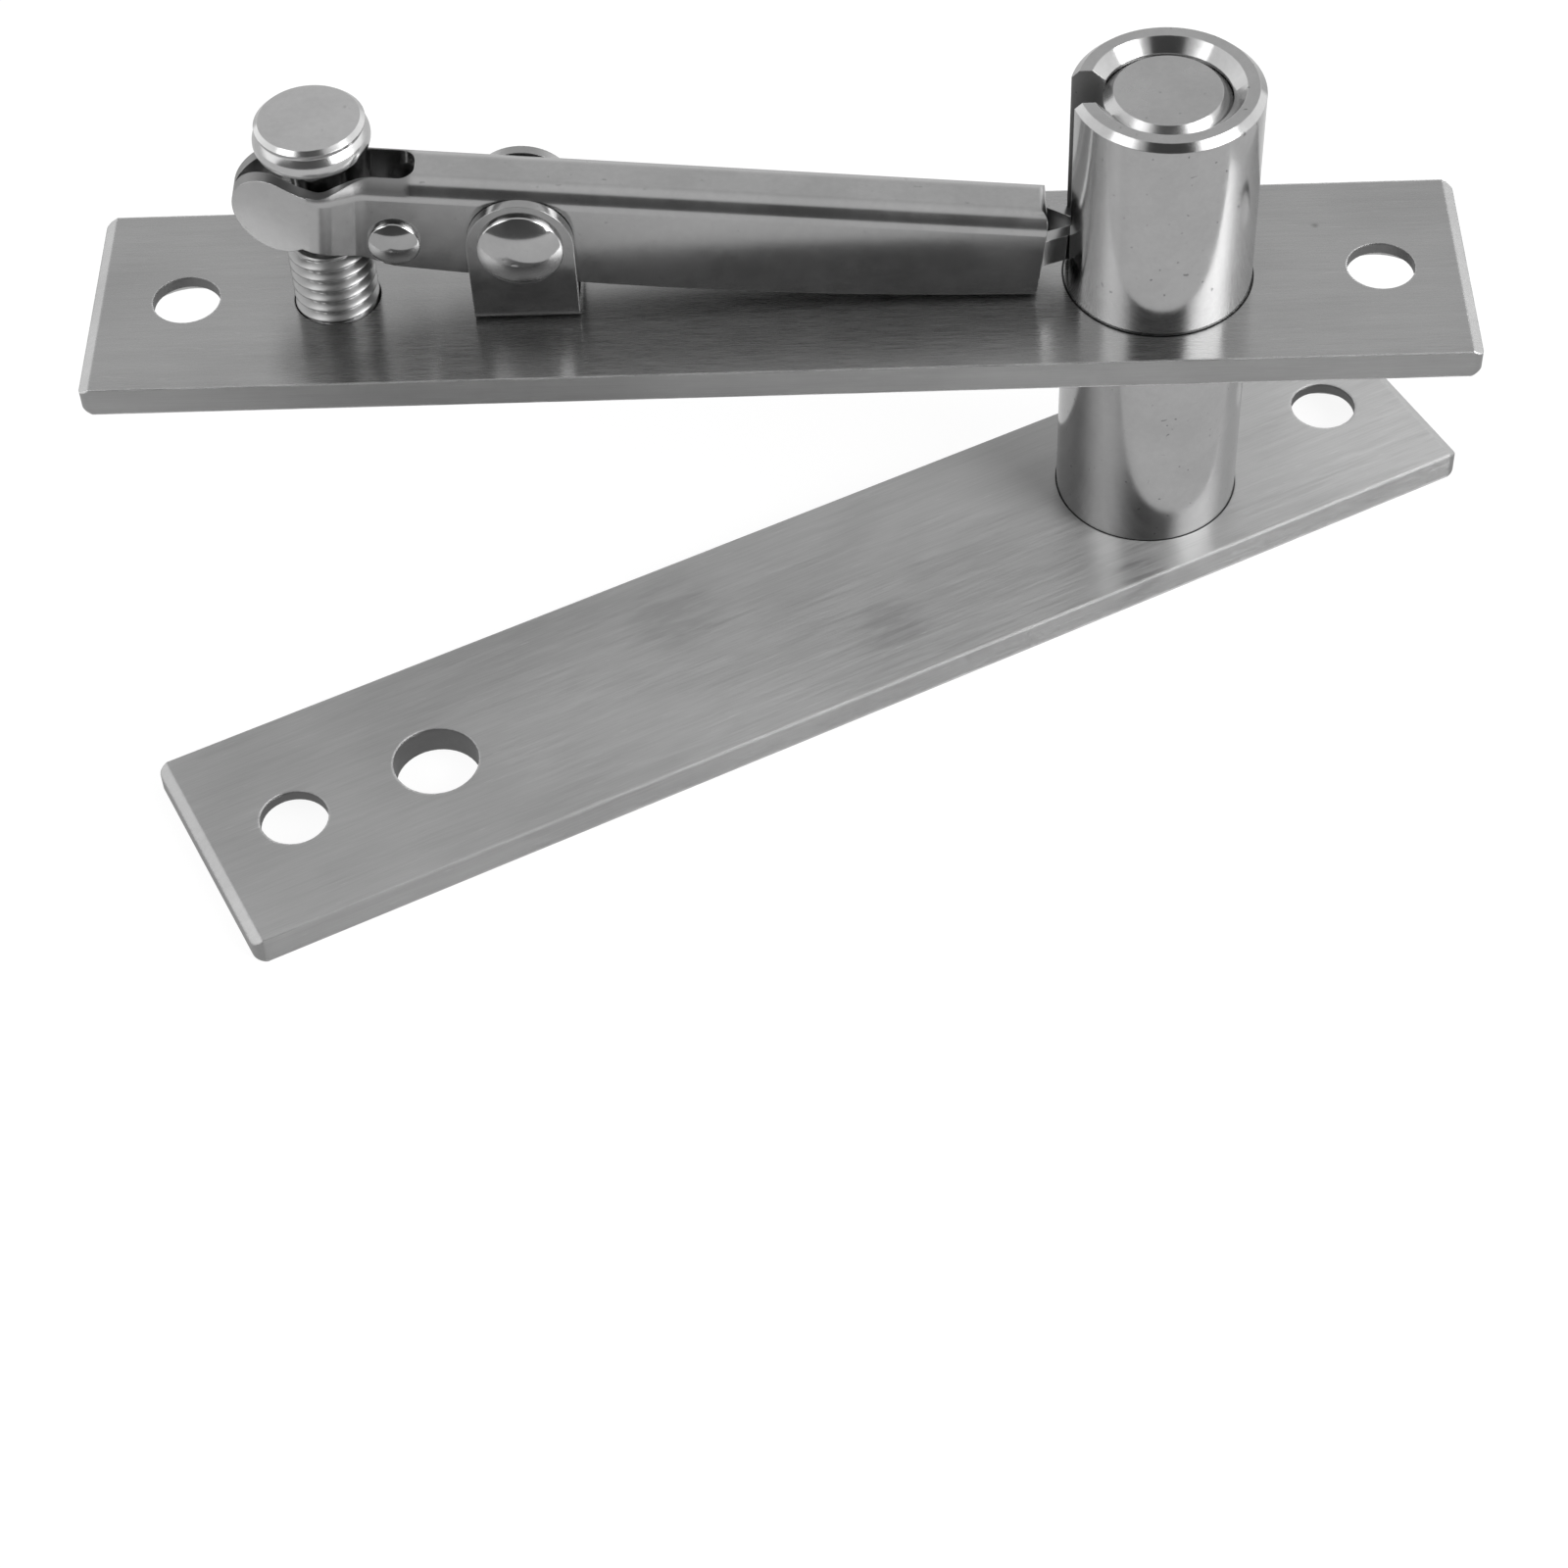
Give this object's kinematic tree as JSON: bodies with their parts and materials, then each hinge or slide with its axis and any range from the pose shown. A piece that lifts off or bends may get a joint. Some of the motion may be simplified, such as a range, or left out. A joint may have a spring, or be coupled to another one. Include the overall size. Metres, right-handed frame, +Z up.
{
  "type": "pivot hinge",
  "caption": "Concealed pivot hinge: a lever and adjusting screw lift the pin of the upper leaf out of the socket of the lower leaf.",
  "frame": {"origin": "on the pivot axis, in the plane of the lower leaf's underside", "axes": "+Z up along the pivot axis; +X along the upper leaf from its lever end to its barrel end; +Y away from the pictured side"},
  "size_m": [0.132, 0.0801, 0.0522],
  "materials": {
    "brushed_leaf": "brushed along its length",
    "turned_barrel": "turned and polished",
    "turned_pin": "turned, satin end",
    "plated_screw": "bright",
    "polished_sheet": "polished sheet",
    "polished_rivet": "bright"
  },
  "bodies": {
    "socket_leaf": {"socket_leaf_plate": "brushed_leaf", "socket_barrel": "turned_barrel"},
    "pivot_leaf": {"pivot_leaf_plate": "brushed_leaf", "guide_barrel": "turned_barrel", "fulcrum_bracket": "polished_sheet", "fulcrum_rivet": "polished_rivet"},
    "lever_arm": {"lever": "polished_sheet", "tie_rivet": "polished_rivet"},
    "pin": {"pivot_pin": "turned_pin"},
    "screw": {"adjusting_screw": "plated_screw"}
  },
  "joints": [
    {"name": "leaf_swing", "type": "hinge", "parent": "socket_leaf", "child": "pivot_leaf", "pos_m": [0, 0, 0.027], "axis": [0, 0, 1], "continuous": true},
    {"name": "lever_rock", "type": "hinge", "parent": "pivot_leaf", "child": "lever_arm", "pos_m": [-0.0592, 0, 0.0389], "axis": [0, -1, 0], "range_deg": [0, 12.4]},
    {"name": "pin_lift", "type": "slide", "parent": "pivot_leaf", "child": "pin", "axis": [0, 0, 1], "range_m": [0, 0.01287]},
    {"name": "screw_travel", "type": "slide", "parent": "pivot_leaf", "child": "screw", "axis": [0, 0, 1], "range_m": [-0.00396, 0]}
  ],
  "couplings": [
    {"joint": "pin_lift", "follows": "lever_rock", "m_per_rad": 0.05943},
    {"joint": "screw_travel", "follows": "lever_rock", "m_per_rad": -0.01827}
  ]
}
